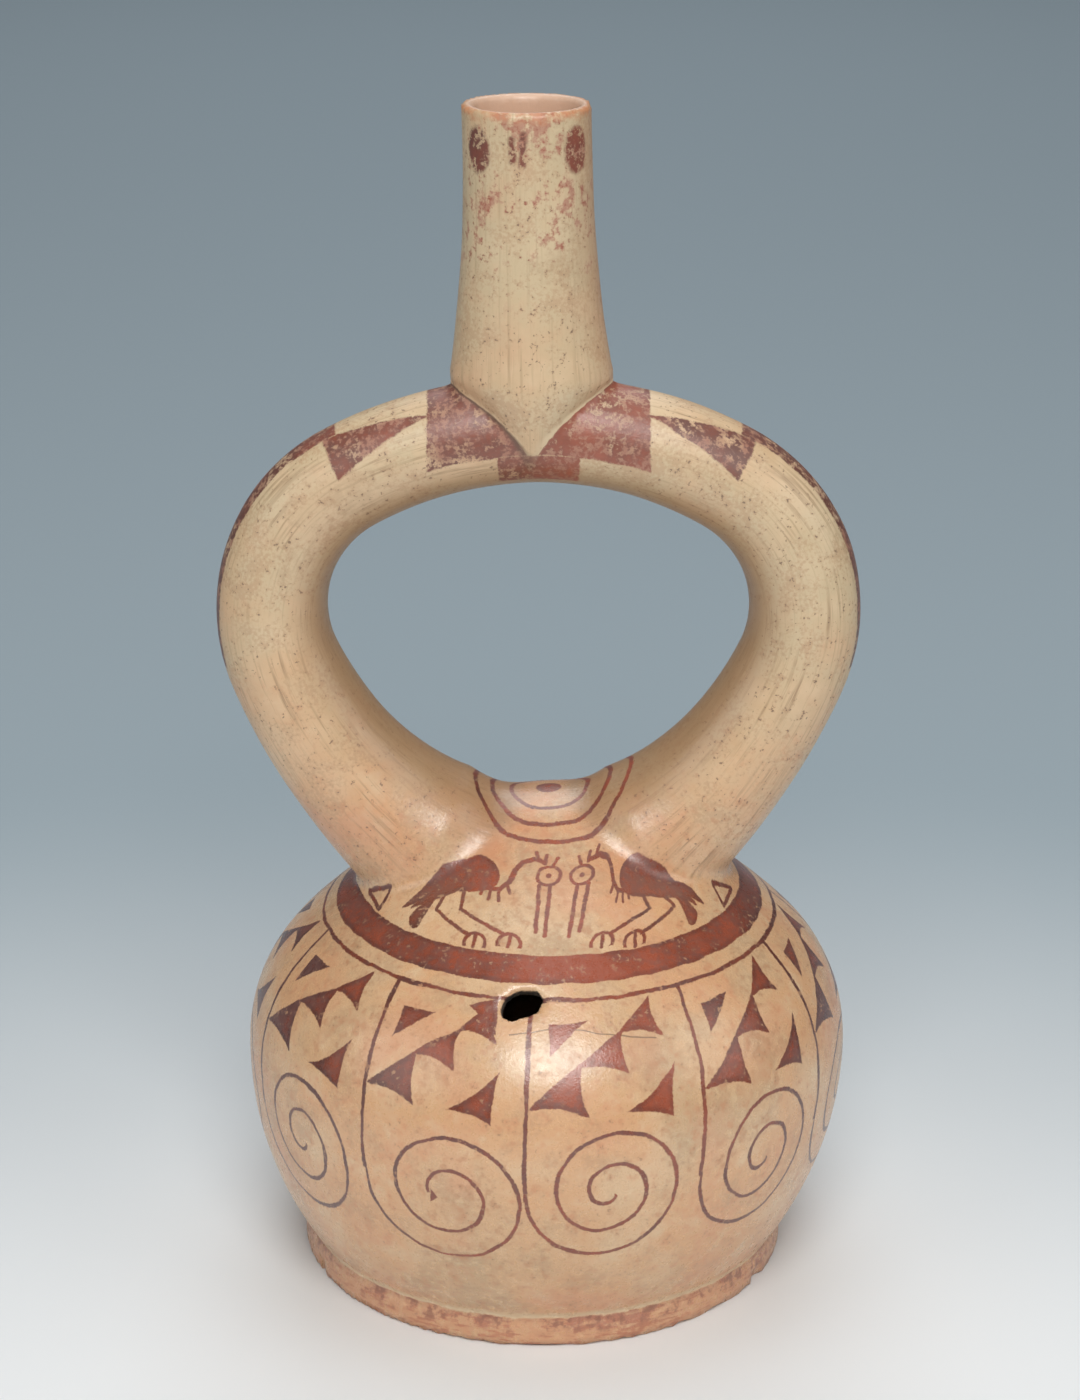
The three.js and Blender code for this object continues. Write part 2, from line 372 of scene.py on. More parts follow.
# Node trees written as arithmetic
class Term:
    """A number or vector in a node tree."""

    def __init__(self, sheet, socket):
        self.sheet = sheet
        self.socket = socket

    def __add__(self, other):
        return self.sheet.math("ADD", self, other)

    def __sub__(self, other):
        return self.sheet.math("SUBTRACT", self, other)

    def __rsub__(self, other):
        return self.sheet.math("SUBTRACT", other, self)

    def __mul__(self, other):
        return self.sheet.math("MULTIPLY", self, other)

    def __truediv__(self, other):
        return self.sheet.math("DIVIDE", self, other)

    def __pow__(self, other):
        return self.sheet.math("POWER", self, other)

    def __neg__(self):
        return self.sheet.math("MULTIPLY", self, -1.0)

    __radd__ = __add__
    __rmul__ = __mul__


class Sheet:
    """Adds nodes to one tree."""

    def __init__(self, tree):
        self.tree = tree

    def node(self, kind, **settings):
        made = self.tree.nodes.new(kind)
        for name, value in settings.items():
            setattr(made, name, value)
        return made

    def plug(self, socket, value):
        if isinstance(value, Term):
            self.tree.links.new(value.socket, socket)
        else:
            socket.default_value = value

    def made(self, node, values, output=0):
        for socket, value in zip(node.inputs, values):
            if value is not None:
                self.plug(socket, value)
        return Term(self, node.outputs[output])

    def math(self, operation, *values):
        return self.made(self.node("ShaderNodeMath", operation=operation), values)

    def vector(self, operation, *values):
        return self.made(self.node("ShaderNodeVectorMath", operation=operation), values)

    def measure(self, operation, *values):
        return self.made(self.node("ShaderNodeVectorMath", operation=operation), values, "Value")

    def join(self, x, y, z=0.0):
        return self.made(self.node("ShaderNodeCombineXYZ"), (x, y, z))

    def split(self, vector):
        node = self.node("ShaderNodeSeparateXYZ")
        self.plug(node.inputs[0], vector)
        return [Term(self, output) for output in node.outputs]

    def clamp(self, value, low, high):
        return self.made(self.node("ShaderNodeClamp"), (value, low, high))

    def ramp(self, value, low, high, start=0.0, end=1.0):
        node = self.node("ShaderNodeMapRange", interpolation_type="SMOOTHSTEP")
        return self.made(node, (value, low, high, start, end))

    def least(self, *values):
        best = values[0]
        for value in values[1:]:
            best = self.math("MINIMUM", best, value)
        return best

    def most(self, *values):
        best = values[0]
        for value in values[1:]:
            best = self.math("MAXIMUM", best, value)
        return best

    def reach(self, *parts):
        total = parts[0] * parts[0]
        for part in parts[1:]:
            total = self.math("MULTIPLY_ADD", part, part, total)
        return self.math("SQRT", total)

    def noise(self, vector, scale, detail=2.0, roughness=0.5):
        node = self.node("ShaderNodeTexNoise", noise_dimensions="3D")
        self.plug(node.inputs["Vector"], vector)
        self.plug(node.inputs["Scale"], scale)
        self.plug(node.inputs["Detail"], detail)
        self.plug(node.inputs["Roughness"], roughness)
        return Term(self, node.outputs[0])


def mix(sheet, first, second, amount):
    """A colour between two others."""
    node = sheet.node("ShaderNodeMix", data_type="RGBA")
    sheet.plug(node.inputs[0], amount)
    sheet.plug(node.inputs[6], first)
    sheet.plug(node.inputs[7], second)
    return Term(sheet, node.outputs[2])


def between(sheet, first, second, amount):
    """A place between two others."""
    step = sheet.vector("SCALE", sheet.vector("SUBTRACT", second, first))
    sheet.plug(step.socket.node.inputs["Scale"], amount)
    return sheet.vector("ADD", first, step)


def curve(sheet, value, spots):
    """A value read off a smooth curve through spots, which run from 0 to 1 across."""
    node = sheet.node("ShaderNodeFloatCurve")
    line = node.mapping.curves[0]
    line.points[0].location = spots[0]
    line.points[1].location = spots[-1]
    for spot in spots[1:-1]:
        line.points.new(*spot)
    node.mapping.update()
    sheet.plug(node.inputs["Value"], value)
    return Term(sheet, node.outputs[0])


def across_body(x, z):
    """How far x is from the body's leaning axis."""
    return x - (BODY_SHIFT + BODY_LEAN * z)


def across_spout(x, z):
    """How far x is from the spout's leaning axis."""
    return x - (SPOUT_SHIFT + SPOUT_LEAN * (z - SPOUT_BASE_HEIGHT))


# Outline of the body and path of the stirrup
OUTLINE_PIECE_STEPS = 60
BELOW_WAIST = math.radians(50)


def body_outline():
    """(radius, height) points from under the waist over the belly and shoulder to the crown."""
    rise = BELLY_HEIGHT - WAIST_HEIGHT
    swell = BELLY_RADIUS - WAIST_RADIUS
    lower = (rise * rise + swell * swell) / (2 * swell)
    steps = OUTLINE_PIECE_STEPS
    points = []
    for step in range(steps):
        turn = -BELOW_WAIST * (1 - step / steps)
        points.append((
            BELLY_RADIUS - lower + lower * math.cos(turn),
            BELLY_HEIGHT + lower * math.sin(turn),
        ))
    middle = BELLY_RADIUS - UPPER_BELLY_RADIUS
    for step in range(steps):
        turn = SHOULDER_SLOPE * step / steps
        points.append((
            middle + UPPER_BELLY_RADIUS * math.cos(turn),
            BELLY_HEIGHT + UPPER_BELLY_RADIUS * math.sin(turn),
        ))
    shoulder = (
        middle + UPPER_BELLY_RADIUS * math.cos(SHOULDER_SLOPE),
        BELLY_HEIGHT + UPPER_BELLY_RADIUS * math.sin(SHOULDER_SLOPE),
    )
    crown_middle = CROWN_HEIGHT - CROWN_RADIUS
    edge = (
        CROWN_RADIUS * math.sin(CROWN_SLOPE),
        crown_middle + CROWN_RADIUS * math.cos(CROWN_SLOPE),
    )
    run = ((edge[1] - shoulder[1] - (shoulder[0] - edge[0]) * math.tan(CROWN_SLOPE))
           / (math.tan(SHOULDER_SLOPE) - math.tan(CROWN_SLOPE)))
    bend = (shoulder[0] - run, shoulder[1] + run * math.tan(SHOULDER_SLOPE))
    for step in range(steps):
        along = step / steps
        weights = ((1 - along) ** 2, 2 * along * (1 - along), along ** 2)
        points.append(tuple(
            weights[0] * a + weights[1] * b + weights[2] * c
            for a, b, c in zip(shoulder, bend, edge)
        ))
    for step in range(steps + 1):
        turn = CROWN_SLOPE * (1 - step / steps)
        points.append((CROWN_RADIUS * math.sin(turn), crown_middle + CROWN_RADIUS * math.cos(turn)))
    return points


def stirrup_arcs():
    """The arcs of one half of the stirrup, from the middle of the arch down."""
    arcs = []
    heading = 0.0
    x = 0.0
    z = ARCH_HEIGHT
    length = 0.0
    turns = list(LEG_ARCS)
    while turns:
        radius, turn = turns.pop(0)
        middle = (x - radius * math.sin(heading), z - radius * math.cos(heading))
        arcs.append((middle, radius, heading, heading + turn, length))
        heading += turn
        x = middle[0] + radius * math.sin(heading)
        z = middle[1] + radius * math.cos(heading)
        length += radius * turn
        if not turns and len(arcs) == len(LEG_ARCS):
            turns.append((x / math.sin(heading), ROOT_TURN))
    return arcs


LEG_REACH = sum(radius * turn for radius, turn in LEG_ARCS)

# The body's outline as a reach from the middle of the belly, for each angle above the level
REACH_LOW = 50.0
REACH_SPAN = 20.0
ANGLE_LOW = math.radians(-48)
ANGLE_SPAN = math.radians(90) - ANGLE_LOW
OUTLINE_STEPS = 46


def outline_reach():
    """The body's reach at even steps of angle, from ANGLE_LOW to straight up."""
    rays = [
        (math.atan2(height - BELLY_HEIGHT, radius), math.hypot(radius, height - BELLY_HEIGHT))
        for radius, height in body_outline()
    ]
    reaches = []
    for step in range(OUTLINE_STEPS + 1):
        angle = ANGLE_LOW + ANGLE_SPAN * step / OUTLINE_STEPS
        before = max((ray for ray in rays if ray[0] <= angle + 1e-9), key=lambda ray: ray[0])
        after = min((ray for ray in rays if ray[0] >= angle - 1e-9), key=lambda ray: ray[0])
        width = after[0] - before[0]
        share = 0.0 if width == 0 else (angle - before[0]) / width
        reaches.append(before[1] + share * (after[1] - before[1]))
    return reaches


# Distance fields of the clay
def body_distance(sheet, x, y, z):
    """Distance to the body's outer surface, without its foot, and to its upright axis."""
    out = sheet.reach(across_body(x, z), y)
    up = z - BELLY_HEIGHT
    angle = sheet.math("ARCTAN2", up, out)
    spots = [
        (step / OUTLINE_STEPS, (reach - REACH_LOW) / REACH_SPAN)
        for step, reach in enumerate(outline_reach())
    ]
    outline = curve(sheet, (angle - ANGLE_LOW) / ANGLE_SPAN, spots)
    return sheet.reach(out, up) - (outline * REACH_SPAN + REACH_LOW), out


def stirrup_distance(sheet, x, y, z):
    """Distance to the stirrup's centre line, how far along it, and its outward share."""
    side = sheet.math("ABSOLUTE", x)
    best = None
    for (middle_x, middle_z), radius, start, end, length in stirrup_arcs():
        across = side - middle_x
        up = z - middle_z
        heading = sheet.clamp(sheet.math("ARCTAN2", across, up), start, end)
        off_x = across - sheet.math("SINE", heading) * radius
        off_z = up - sheet.math("COSINE", heading) * radius
        gap = sheet.reach(off_x, off_z, y)
        along = heading * radius + (length - start * radius)
        outward = off_x * sheet.math("SINE", heading) + off_z * sheet.math("COSINE", heading)
        if best is None:
            best = (gap, along, outward)
        else:
            nearer = sheet.math("LESS_THAN", gap, best[0])
            best = tuple(old + (new - old) * nearer for old, new in zip(best, (gap, along, outward)))
    return best


def spout_distance(sheet, x, y, z):
    """Distance to the spout's outer surface and to its upright axis."""
    across = across_spout(x, z)
    out = sheet.reach(across, y)
    down = sheet.clamp((OVERALL_HEIGHT - z) / (OVERALL_HEIGHT - SPOUT_BASE_HEIGHT), 0.0, 1.0)
    flare = down ** SPOUT_FLARE_POWER
    low = sheet.clamp((SPOUT_BASE_HEIGHT - z) / (SPOUT_BASE_HEIGHT - SPOUT_TIP_HEIGHT), 0.0, 1.0)
    width = (MOUTH_RADIUS + (SPOUT_BASE_RADIUS - MOUTH_RADIUS) * flare
             - (SPOUT_BASE_RADIUS - SPOUT_TIP_WIDTH) * low)
    depth = (MOUTH_RADIUS + (SPOUT_BASE_DEPTH - MOUTH_RADIUS) * flare
             - (SPOUT_BASE_DEPTH - SPOUT_TIP_DEPTH) * low * low)
    side = (sheet.reach(across / width, y / depth) - 1.0) * width
    return sheet.most(side, z - OVERALL_HEIGHT, SPOUT_TIP_HEIGHT - z), out


def hole_middle():
    """The middle of the broken hole, on the shoulder's surface."""
    shift = BODY_SHIFT + BODY_LEAN * HOLE_HEIGHT
    return (
        shift + HOLE_RADIUS * math.sin(HOLE_TURN),
        -HOLE_RADIUS * math.cos(HOLE_TURN),
        HOLE_HEIGHT,
    )


def mouth_middle():
    """The middle of the spout's mouth."""
    return (SPOUT_SHIFT + SPOUT_LEAN * (OVERALL_HEIGHT - SPOUT_BASE_HEIGHT), 0.0, OVERALL_HEIGHT)


def hole_distance(sheet, x, y, z, rough):
    """Distance to the plug of clay that is missing from the shoulder."""
    ahead = (math.sin(HOLE_TURN), -math.cos(HOLE_TURN))
    across = (math.cos(HOLE_TURN), math.sin(HOLE_TURN), 0.0)
    tilt = math.sin(HOLE_TILT)
    rise = math.cos(HOLE_TILT)
    outward = (ahead[0] * rise, ahead[1] * rise, tilt)
    upward = (-ahead[0] * tilt, -ahead[1] * tilt, rise)
    offset = sheet.vector("SUBTRACT", sheet.join(x, y, z), hole_middle())
    spot = sheet.join(sheet.measure("DOT_PRODUCT", offset, across),
                      sheet.measure("DOT_PRODUCT", offset, upward))
    deep = sheet.math("ABSOLUTE", sheet.measure("DOT_PRODUCT", offset, outward)) - HOLE_DEPTH
    edges = [deep]
    corners = HOLE_OUTLINE
    for (ax, ay), (bx, by) in zip(corners, corners[1:] + corners[:1]):
        size = math.hypot(bx - ax, by - ay)
        normal = ((ay - by) / size, (bx - ax) / size, 0.0)
        level = normal[0] * ax + normal[1] * ay
        edges.append(sheet.measure("DOT_PRODUCT", spot, normal) - level)
    return sheet.most(*edges) + rough


def clay_group():
    """Node group: distance of a place to the clay, with the sizes that shape its joins."""
    tree = bpy.data.node_groups.new("clay_distance", "GeometryNodeTree")
    tree.interface.new_socket("Place", in_out="INPUT", socket_type="NodeSocketVector")
    for name, value in FORM_SIZES.items():
        socket = tree.interface.new_socket(name, in_out="INPUT", socket_type="NodeSocketFloat")
        socket.default_value = value
    outputs = ("Distance", *KEPT)
    for name in outputs:
        tree.interface.new_socket(name, in_out="OUTPUT", socket_type="NodeSocketFloat")
    sheet = Sheet(tree)
    given = sheet.node("NodeGroupInput")
    place = Term(sheet, given.outputs["Place"])
    size = {name: Term(sheet, given.outputs[name]) for name in FORM_SIZES}
    x, y, z = sheet.split(place)
    shifted = sheet.vector("ADD", place, sheet.join(size["Seed"] * SEED_STEP, 0.0))
    waves = (sheet.noise(shifted, *WAVE_NOISE) - 0.5) * (size["Unevenness"] * 2.0)
    rough = (sheet.noise(shifted, *BREAK_NOISE) - 0.5) * BREAK_DEPTH

    body, body_out = body_distance(sheet, x, y, z)
    foot = sheet.math("SMOOTH_MAX", body_out - FOOT_RADIUS, z - FOOT_HEIGHT, FOOT_ROUNDING)
    vessel = sheet.math("SMOOTH_MIN", body, foot, FOOT_JOIN)
    gap, along, outward = stirrup_distance(sheet, x, y, z)
    down = sheet.clamp(along / LEG_REACH, 0.0, 1.0)
    stirrup = gap - (size["Stirrup radius"] + LEG_GROWTH * down + LEG_FLARE * down ** LEG_FLARE_POWER)
    spout, spout_out = spout_distance(sheet, x, y, z)
    collar = sheet.ramp(sheet.math("ABSOLUTE", x), *COLLAR_RANGE)
    spout_join = size["Spout join"] + (size["Collar join"] - size["Spout join"]) * collar
    handle = sheet.math("SMOOTH_MIN", stirrup, spout, spout_join)
    outer = sheet.math("SMOOTH_MIN", vessel, handle, size["Leg join"]) + waves + size["Unevenness"]

    chamber = sheet.math("SMOOTH_MAX", body + size["Wall"], FLOOR_THICKNESS - z, FLOOR_ROUNDING)
    high = sheet.clamp((z - SPOUT_BASE_HEIGHT) / (OVERALL_HEIGHT - SPOUT_BASE_HEIGHT) * 2.0, 0.0, 1.0)
    low = sheet.clamp((z - SPOUT_BORE_BOTTOM) / (SPOUT_BASE_HEIGHT - SPOUT_BORE_BOTTOM), 0.0, 1.0)
    bore = STIRRUP_BORE + (SPOUT_BORE - STIRRUP_BORE) * low + (MOUTH_BORE - SPOUT_BORE) * high
    spout_hollow = sheet.most(spout_out - bore, SPOUT_BORE_BOTTOM - z)
    hollow = sheet.math("SMOOTH_MIN", chamber, gap - STIRRUP_BORE, BORE_JOIN)
    hollow = sheet.math("SMOOTH_MIN", hollow, spout_hollow, SPOUT_BORE_JOIN)
    clay = sheet.math("SMOOTH_MAX", outer, -hollow, LIP_ROUNDING)
    clay = sheet.math("SMOOTH_MAX", clay, -z, SOLE_ROUNDING)
    hole = hole_distance(sheet, x, y, z, rough * HOLE_BREAK)
    clay = sheet.math("SMOOTH_MAX", clay, -hole, HOLE_ROUNDING)
    for turn, radius, height in FOOT_CHIPS:
        out = FOOT_RADIUS + radius / 2
        middle = (BODY_SHIFT + out * math.sin(turn), -out * math.cos(turn), height)
        chip = sheet.measure("DISTANCE", place, middle) - radius + rough
        clay = sheet.math("SMOOTH_MAX", clay, -chip, CHIP_ROUNDING)

    result = sheet.node("NodeGroupOutput")
    leads = (vessel - stirrup, stirrup - spout)
    for name, value in zip(outputs, (clay, hollow, along, outward, *leads, hole)):
        sheet.plug(result.inputs[name], value)
    return tree


def finer(sheet, place):
    """Where a point of the grid stands: the grid is drawn together at the mouth and at the hole."""
    for middle, spread in ((mouth_middle(), MOUTH_SPREAD), (hole_middle(), HOLE_SPREAD)):
        offset = sheet.vector("SUBTRACT", place, middle)
        gap = sheet.measure("LENGTH", offset) / spread
        pull = sheet.vector("SCALE", offset)
        sheet.plug(pull.socket.node.inputs["Scale"], sheet.math("EXPONENT", gap * gap * -0.5) * -FINER_SHARE)
        place = sheet.vector("ADD", place, pull)
    return place


def kept_name(name):
    """The name of the mesh attribute that keeps an output of the clay group."""
    return name.lower().replace(" ", "_")


def form_tree(material):
    """Node tree: the clay's distance field turned into a mesh, drawn onto the exact surface."""
    group = clay_group()
    tree = bpy.data.node_groups.new("clay_form", "GeometryNodeTree")
    tree.interface.new_socket("Geometry", in_out="INPUT", socket_type="NodeSocketGeometry")
    tree.interface.new_socket("Geometry", in_out="OUTPUT", socket_type="NodeSocketGeometry")
    for name in ("Grid step", *FORM_SIZES):
        tree.interface.new_socket(name, in_out="INPUT", socket_type="NodeSocketFloat")
    sheet = Sheet(tree)
    given = sheet.node("NodeGroupInput")
    step = Term(sheet, given.outputs["Grid step"])

    def clay_at(place):
        node = sheet.node("GeometryNodeGroup", node_tree=group)
        sheet.plug(node.inputs["Place"], place)
        for name in FORM_SIZES:
            tree.links.new(given.outputs[name], node.inputs[name])
        return node

    place = Term(sheet, sheet.node("GeometryNodeInputPosition").outputs[0])
    low = tuple(1000.0 * value - GRID_MARGIN for value in cad_box[0])
    high = tuple(1000.0 * value + GRID_MARGIN for value in cad_box[1])
    cube = sheet.node("GeometryNodeVolumeCube")
    drawn = finer(sheet, place)
    sheet.plug(cube.inputs["Density"], -Term(sheet, clay_at(drawn).outputs["Distance"]))
    cube.inputs["Background"].default_value = -1.0
    cube.inputs["Min"].default_value = low
    cube.inputs["Max"].default_value = high
    for axis, name in enumerate(("Resolution X", "Resolution Y", "Resolution Z")):
        count = sheet.math("ROUND", sheet.math("DIVIDE", high[axis] - low[axis], step)) + 1.0
        sheet.plug(cube.inputs[name], count)
    mesh = sheet.node("GeometryNodeVolumeToMesh")
    tree.links.new(cube.outputs[0], mesh.inputs["Volume"])
    mesh.inputs["Threshold"].default_value = 0.0
    draw = sheet.node("GeometryNodeSetPosition")
    tree.links.new(mesh.outputs[0], draw.inputs["Geometry"])
    sheet.plug(draw.inputs["Position"], drawn)
    geometry = draw.outputs[0]

    for _ in range(2):
        here = Term(sheet, clay_at(place).outputs["Distance"])
        slopes = []
        for axis in range(3):
            shift = tuple(SLOPE_STEP if axis == other else 0.0 for other in range(3))
            there = clay_at(sheet.vector("ADD", place, shift)).outputs["Distance"]
            slopes.append((Term(sheet, there) - here) / SLOPE_STEP)
        slope = sheet.join(*slopes)
        size = sheet.most(sheet.measure("DOT_PRODUCT", slope, slope), 0.2)
        move = sheet.node("GeometryNodeSetPosition")
        tree.links.new(geometry, move.inputs["Geometry"])
        offset = sheet.vector("SCALE", slope)
        sheet.plug(offset.socket.node.inputs["Scale"], -here / size)
        sheet.plug(move.inputs["Offset"], offset)
        geometry = move.outputs[0]

    found = clay_at(place)
    for name in KEPT:
        keep = sheet.node("GeometryNodeStoreNamedAttribute", data_type="FLOAT", domain="POINT")
        keep.inputs["Name"].default_value = kept_name(name)
        tree.links.new(geometry, keep.inputs["Geometry"])
        tree.links.new(found.outputs[name], keep.inputs["Value"])
        geometry = keep.outputs[0]
    shrink = sheet.node("GeometryNodeTransform")
    tree.links.new(geometry, shrink.inputs["Geometry"])
    shrink.inputs["Scale"].default_value = (0.001, 0.001, 0.001)
    smooth = sheet.node("GeometryNodeSetShadeSmooth")
    tree.links.new(shrink.outputs[0], smooth.inputs["Geometry"])
    real = sheet.node("GeometryNodeRealizeInstances")
    tree.links.new(smooth.outputs[0], real.inputs[0])
    paint = sheet.node("GeometryNodeSetMaterial")
    paint.inputs["Material"].default_value = material
    tree.links.new(real.outputs[0], paint.inputs["Geometry"])
    result = sheet.node("NodeGroupOutput")
    tree.links.new(paint.outputs[0], result.inputs[0])
    return tree


def clay_piece(material):
    """The bottle's mesh, made by the form tree."""
    tree = form_tree(material)
    holder = bpy.data.objects.new("form", bpy.data.meshes.new("form"))
    bpy.context.scene.collection.objects.link(holder)
    modifier = holder.modifiers.new("form", "NODES")
    modifier.node_group = tree
    sizes = {"Grid step": GRID_STEP, **FORM_SIZES}
    for item in tree.interface.items_tree:
        if item.in_out == "INPUT" and item.name in sizes:
            modifier[item.identifier] = sizes[item.name]
    holder.update_tag()
    scene_now = bpy.context.evaluated_depsgraph_get()
    mesh = bpy.data.meshes.new_from_object(holder.evaluated_get(scene_now), depsgraph=scene_now)
    bpy.data.objects.remove(holder)
    mesh.name = "bottle_clay"
    piece = bpy.data.objects.new("bottle_clay", mesh)
    bpy.context.scene.collection.objects.link(piece)
    return piece


# Marks of slip: each gives the distance to a painted shape in millimetres, negative inside it
def stroke(sheet, spot, points, start, end=None):
    """A brush line through points, from half width start to half width end."""
    end = start if end is None else end
    steps = len(points) - 1
    best = None
    for step, (first, last) in enumerate(zip(points, points[1:])):
        run = (last[0] - first[0], last[1] - first[1], 0.0)
        size = run[0] ** 2 + run[1] ** 2
        offset = sheet.vector("SUBTRACT", spot, (first[0], first[1], 0.0))
        share = tuple(part / size for part in run)
        along = sheet.clamp(sheet.measure("DOT_PRODUCT", offset, share), 0.0, 1.0)
        reached = sheet.made(sheet.node("ShaderNodeVectorMath", operation="SCALE"), (run,))
        sheet.plug(reached.socket.node.inputs["Scale"], along)
        gap = sheet.measure("DISTANCE", offset, reached)
        width = start + (end - start) * step / steps
        change = (end - start) / steps
        line = gap - (along * change + width) if change else gap - width
        best = line if best is None else sheet.math("MINIMUM", best, line)
    return best


def dot(sheet, spot, middle, radius):
    """A filled round mark."""
    return sheet.measure("DISTANCE", spot, (middle[0], middle[1], 0.0)) - radius


def ring(sheet, spot, middle, radius, half):
    """A round line of half width half."""
    return sheet.math("ABSOLUTE", dot(sheet, spot, middle, radius)) - half


def side(sheet, spot, first, last, sag=0.0):
    """Distance to the right of the edge from first to last, which sags inwards by sag."""
    run = (last[0] - first[0], last[1] - first[1])
    size = math.hypot(*run)
    normal = (-run[1] / size, run[0] / size)
    level = normal[0] * first[0] + normal[1] * first[1]
    straight = sheet.measure("DOT_PRODUCT", spot, (normal[0], normal[1], 0.0)) - level
    if not sag:
        return straight
    radius = (size * size / 4 + sag * sag) / (2 * sag)
    middle = tuple((a + b) / 2 + n * (radius - sag) for a, b, n in zip(first, last, normal))
    hollow = radius - sheet.measure("DISTANCE", spot, (middle[0], middle[1], 0.0))
    return sheet.math("MAXIMUM", straight, hollow)


def sail(sheet, spot, corners, sags):
    """A triangle with hollow sides, its corners given clockwise."""
    sides = [
        side(sheet, spot, first, last, sag)
        for first, last, sag in zip(corners, corners[1:] + corners[:1], sags)
    ]
    return sheet.most(*sides)


def wading_birds(sheet, along, height, near_front):
    """Two plain long-billed wading birds that face each other, along the shoulder from the front."""
    lean = height * BIRD_LEAN + BIRD_SHIFT
    off = along - lean
    right = sheet.math("GREATER_THAN", off, 0.0)
    across = sheet.math("ABSOLUTE", off)
    up = height * BIRD_SQUASH
    stoop = sheet.ramp(across, *STOOP_START) - sheet.ramp(across, *STOOP_STOP)
    stoop = stoop * sheet.ramp(up, *STOOP_HEIGHT) * right * BIRD_STOOP
    spot = sheet.join(across + stoop, up + stoop * STOOP_RISE)
    ink = stroke(sheet, spot, *WINGS[0])
    for wing in WINGS[1:]:
        ink = sheet.least(ink, stroke(sheet, spot, *wing))
    ink = sheet.least(ink, stroke(sheet, spot, NECK, NECK_HALF))
    ink = sheet.least(ink, ring(sheet, spot, EYE, EYE_RADIUS, FINE_HALF))
    ink = sheet.least(ink, dot(sheet, spot, EYE, PUPIL_RADIUS))
    for line in BIRD_LINES:
        ink = sheet.least(ink, stroke(sheet, spot, line, LEG_HALF))
    for x, y in BIRD_FEET:
        foot = ring(sheet, spot, (x, y), TOE_RADIUS, FINE_HALF)
        ink = sheet.least(ink, sheet.math("MAXIMUM", foot, y - TOE_TIP - up))
        toe = [(x, y + TOE_TOP), (x + 0.2, y - TOE_TIP)]
        ink = sheet.least(ink, stroke(sheet, spot, toe, FINE_HALF))
    for line in BIRD_TICKS:
        ink = sheet.least(ink, stroke(sheet, spot, line, FINE_HALF) + (1.0 - near_front) * 2.0)
    return ink


def frieze(sheet, spot, panel_width, width, flat):
    """One panel of the belly frieze: its border, scroll and sails; flat is 1 on the flat scroll's panel."""
    across, height = sheet.split(spot)[:2]
    middle, level, squash, pitch, turns = (
        flat * (other - usual) + usual for usual, other in zip(SCROLL, FLAT_SCROLL)
    )
    edge = sheet.math("ABSOLUTE", panel_width * 0.5 - sheet.math("ABSOLUTE", across))
    ink = sheet.math("MAXIMUM", edge - width, level - height)
    out = across - middle
    rise = (height - level) * squash
    turn = sheet.math("FRACT", sheet.math("ARCTAN2", rise, out) * (0.5 / math.pi) + 0.5)
    lap = (panel_width * 0.5 + middle - sheet.reach(out, rise)) / pitch - turn
    whole = sheet.clamp(sheet.math("ROUND", lap), 0.0, 2.0)
    scroll = sheet.math("ABSOLUTE", lap - whole) * pitch - width
    ink = sheet.least(ink, sheet.math("MAXIMUM", scroll, (whole + turn - turns) * 20.0))
    for first, last, tip in zip(STEPS, STEPS[1:], STEP_TIPS):
        ink = sheet.least(ink, sail(sheet, spot, [first, tip, last], STEP_SAGS) - INK_SPREAD)
    ink = sheet.least(ink, sail(sheet, spot, LOW_SAIL, LOW_SAGS))
    ink = sheet.least(ink, sail(sheet, spot, CORNER_SAIL, STRAIGHT))
    for corners in (FLAT_TOP, SCROLL_TICK):
        ink = sheet.least(ink, sail(sheet, spot, corners, STRAIGHT) + (1.0 - flat) * OUT_OF_SIGHT)
    return ink


